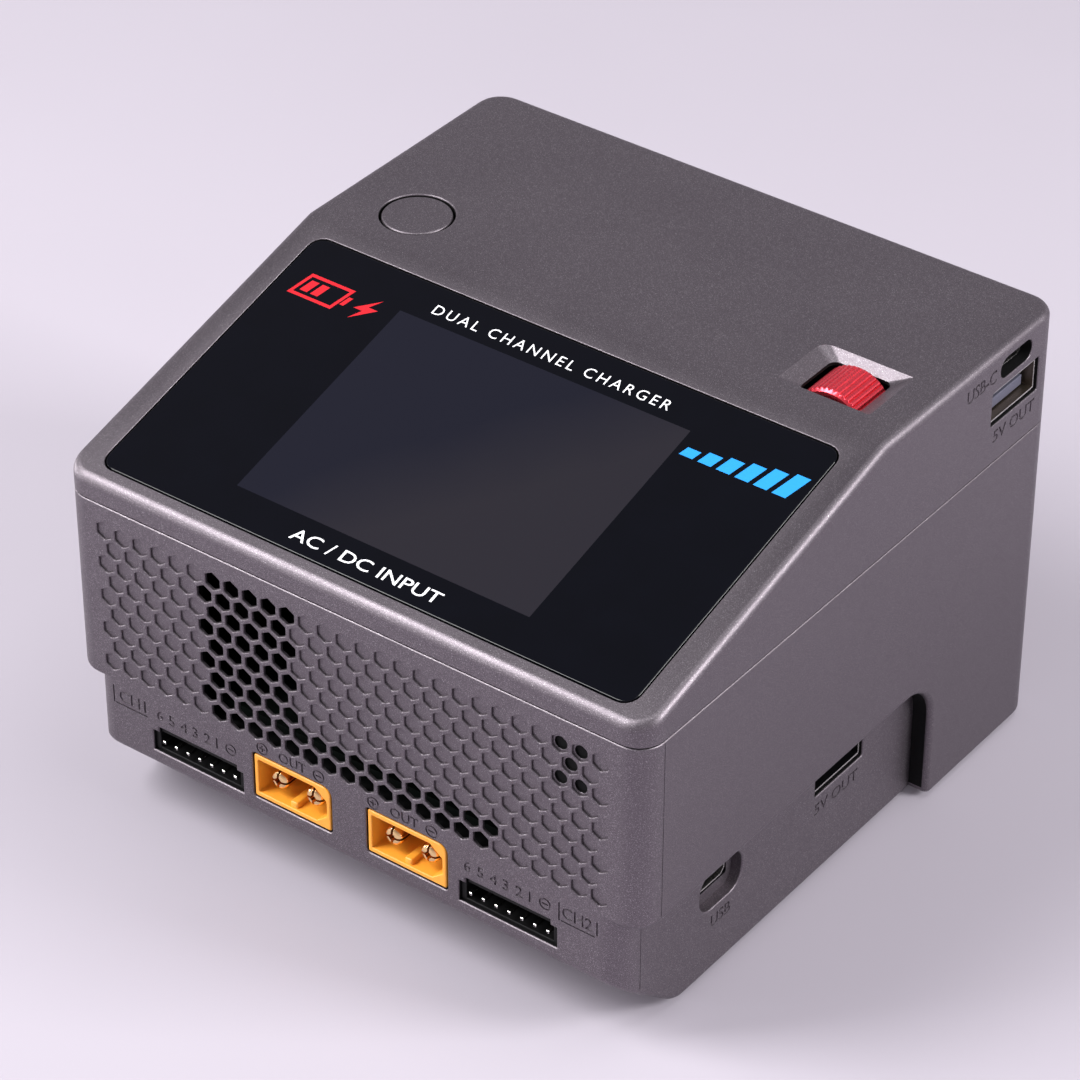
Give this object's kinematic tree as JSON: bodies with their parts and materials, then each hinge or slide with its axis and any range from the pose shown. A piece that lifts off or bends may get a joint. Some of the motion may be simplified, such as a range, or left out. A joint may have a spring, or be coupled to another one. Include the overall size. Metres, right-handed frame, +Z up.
{
  "type": "balance battery charger",
  "caption": "Desktop two-channel balance charger with a sloped display, honeycomb front grille, output and balance sockets, USB ports, push button and thumb wheel.",
  "frame": {"origin": "on the ground under the middle of the casing", "axes": "+Z up, -Y out of the front with the grille and the output sockets, +X towards the side with the USB ports"},
  "size_m": [0.1142, 0.1132, 0.0816],
  "materials": {
    "casing": "satin metallic grey with a fine sparkle",
    "black_glass": "polished black acrylic lens",
    "screen": "dark liquid crystal screen",
    "circuit_board": "green solder mask on fibreglass",
    "red_anodised": "red anodised, knurled",
    "steel": "bright nickel plating",
    "black_plastic": "moulded",
    "grey_plastic": "moulded",
    "orange_nylon": "moulded nylon",
    "gold_contact": "gold plated",
    "rubber_foot": "soft rubber",
    "ferrite": "sintered ferrite",
    "copper_coil": "enamelled copper wire",
    "capacitor_sleeve": "shrink sleeve",
    "aluminium": "extruded"
  },
  "bodies": {
    "case": {"top_cover": "casing", "lower_housing": "casing", "rear_panel": "casing", "display_glass": "black_glass", "lcd_module": "screen", "display_board": "circuit_board", "control_board": "circuit_board", "usb_board": "circuit_board", "power_supply_board": "circuit_board", "main_board": "circuit_board", "balance_pins_1": "steel", "balance_pins_2": "steel", "usb_a_top_shell": "steel", "usb_a_side_shell": "steel", "usb_c_shell": "steel", "micro_usb_shell": "steel", "ac_pin_line": "steel", "ac_pin_neutral": "steel", "ac_pin_earth": "steel", "case_screw_1": "steel", "case_screw_2": "steel", "case_screw_3": "steel", "case_screw_4": "steel", "button_switch": "black_plastic", "wheel_encoder": "black_plastic", "buzzer": "black_plastic", "balance_shell_1": "black_plastic", "balance_shell_2": "black_plastic", "usb_a_side_tongue": "black_plastic", "usb_c_tongue": "black_plastic", "micro_usb_tongue": "black_plastic", "ac_inlet": "black_plastic", "fan_frame": "black_plastic", "usb_a_top_tongue": "grey_plastic", "output_shell_1": "orange_nylon", "output_shell_2": "orange_nylon", "dc_input_shell": "orange_nylon", "output_pin_plus_1": "gold_contact", "output_pin_minus_1": "gold_contact", "output_pin_plus_2": "gold_contact", "output_pin_minus_2": "gold_contact", "dc_pin_plus": "gold_contact", "dc_pin_minus": "gold_contact", "foot_1": "rubber_foot", "foot_2": "rubber_foot", "foot_3": "rubber_foot", "foot_4": "rubber_foot", "transformer_core": "ferrite", "inductor_1": "ferrite", "inductor_2": "ferrite", "transformer_winding": "copper_coil", "mains_capacitor_1": "capacitor_sleeve", "mains_capacitor_2": "capacitor_sleeve", "heatsink_1": "aluminium", "heatsink_2": "aluminium"},
    "button": {"power_button": "casing"},
    "wheel_carriage": {"wheel_cradle": "black_plastic"},
    "wheel": {"thumb_wheel": "red_anodised", "wheel_axle": "steel"},
    "fan": {"fan_rotor": "black_plastic"}
  },
  "joints": [
    {"name": "button_press", "type": "slide", "parent": "case", "child": "button", "axis": [0, 0, -1], "range_m": [0, 0.0006], "stiffness_N_per_m": 1500, "springref_m": -0.0004},
    {"name": "wheel_press", "type": "slide", "parent": "case", "child": "wheel_carriage", "axis": [0, 0, -1], "range_m": [0, 0.0006], "stiffness_N_per_m": 1500, "springref_m": -0.0004},
    {"name": "wheel_spin", "type": "hinge", "parent": "wheel_carriage", "child": "wheel", "pos_m": [0.04165, 0.01745, 0.0751], "axis": [0, 1, 0], "continuous": true},
    {"name": "fan_spin", "type": "hinge", "parent": "case", "child": "fan", "pos_m": [-0.021, 0.0434, 0.0318], "axis": [0, 1, 0], "continuous": true}
  ]
}
